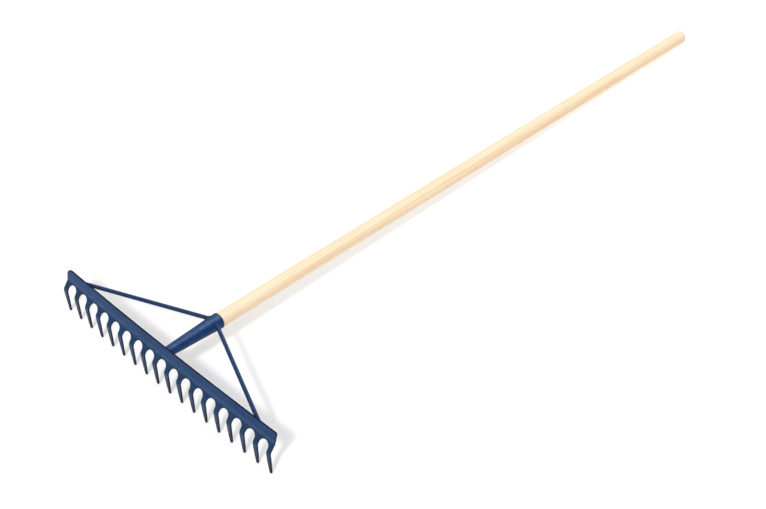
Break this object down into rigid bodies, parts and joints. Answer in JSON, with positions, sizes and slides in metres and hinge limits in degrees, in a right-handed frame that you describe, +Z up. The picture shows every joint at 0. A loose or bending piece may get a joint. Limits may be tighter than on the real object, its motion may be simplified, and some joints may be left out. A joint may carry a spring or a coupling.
{
  "type": "bow rake",
  "caption": "Garden rake with a stamped and bent steel head, a tapered socket, two side braces and a long round wooden handle.",
  "frame": {"origin": "on the ground, under the middle of the rake as it rests on its tine tips and its handle's free end", "axes": "+X along the head, to the left of a person who holds the handle and faces the head; +Y from the head towards the handle's free end; +Z up"},
  "size_m": [0.5396, 1.543, 0.0948],
  "materials": {
    "blue_enamel": "semi-gloss baked enamel on steel",
    "pale_wood": "smooth sanded hardwood, lightly oiled",
    "zinc_plate": "bright zinc plate"
  },
  "bodies": {
    "root": {"rake_head": "blue_enamel", "socket": "blue_enamel", "socket_base_weld": "blue_enamel", "brace_left": "blue_enamel", "brace_left_head_weld": "blue_enamel", "brace_left_socket_weld": "blue_enamel", "brace_right": "blue_enamel", "brace_right_head_weld": "blue_enamel", "brace_right_socket_weld": "blue_enamel", "handle": "pale_wood", "handle_screw": "zinc_plate"}
  },
  "joints": []
}
